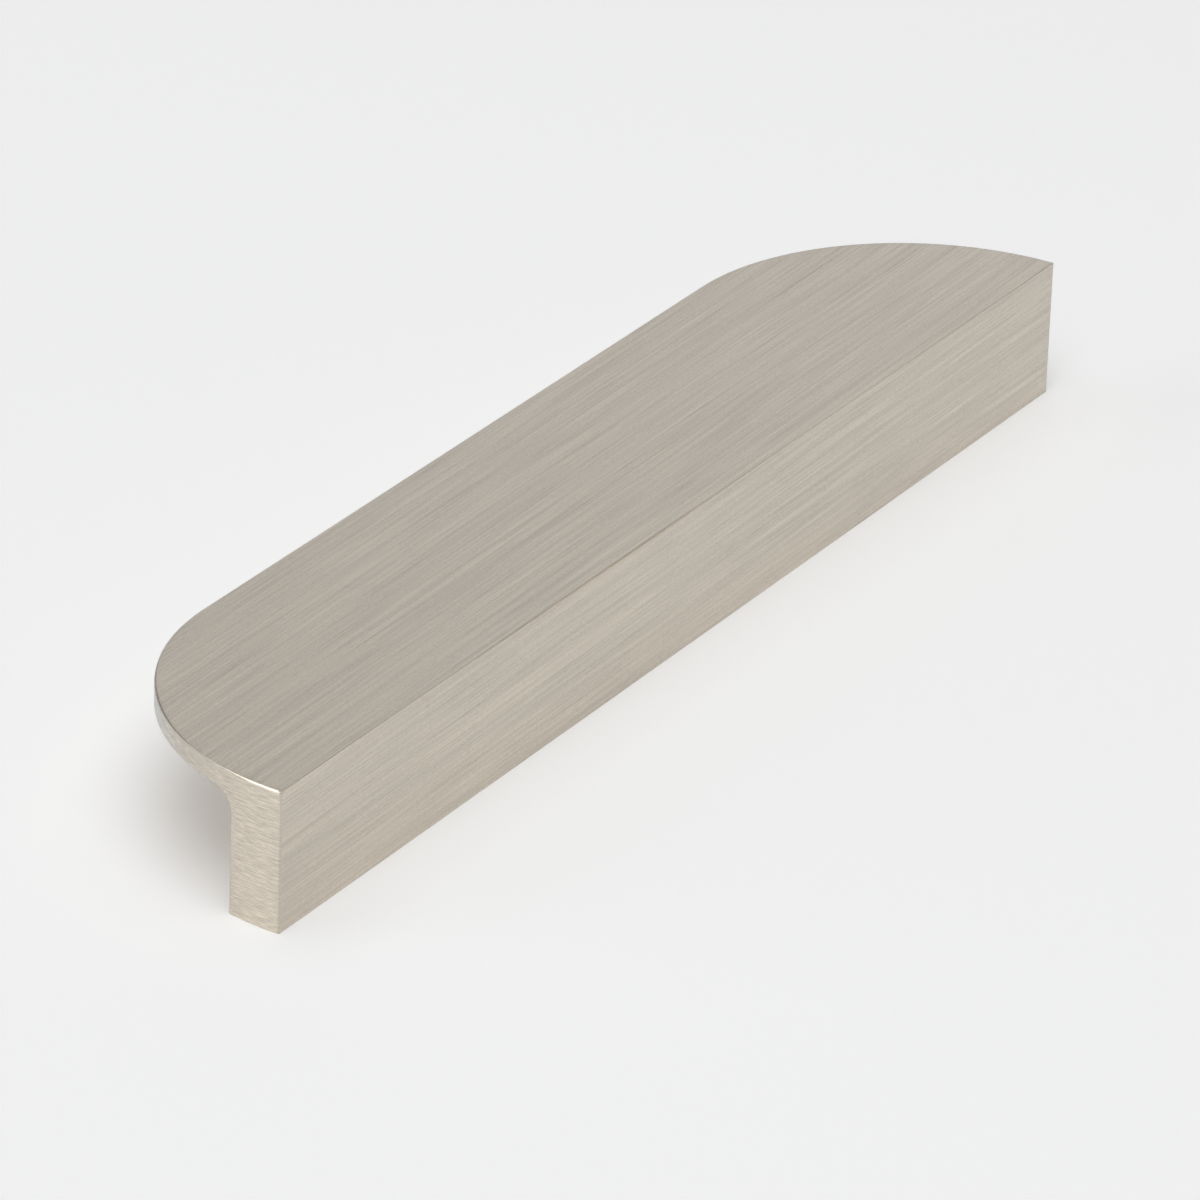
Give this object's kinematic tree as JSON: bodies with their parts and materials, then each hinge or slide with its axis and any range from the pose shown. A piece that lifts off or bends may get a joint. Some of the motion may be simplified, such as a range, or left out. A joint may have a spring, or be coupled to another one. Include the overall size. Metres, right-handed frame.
{
  "type": "cabinet pull",
  "caption": "Solid L-section cabinet pull in brushed nickel: a thick leg fixed to the cabinet front carries a thin flange, rounded at both ends in plan, as the finger grip.",
  "frame": {"origin": "on the seat face of the leg, which stands on the cabinet front, half way between the two fixing holes", "axes": "+X along the pull, +Y from the leg to the lip of the flange, +Z away from the cabinet front"},
  "size_m": [0.195, 0.036, 0.02],
  "materials": {
    "brushed_nickel": "satin"
  },
  "bodies": {
    "root": {"pull_body": "brushed_nickel"}
  },
  "joints": []
}
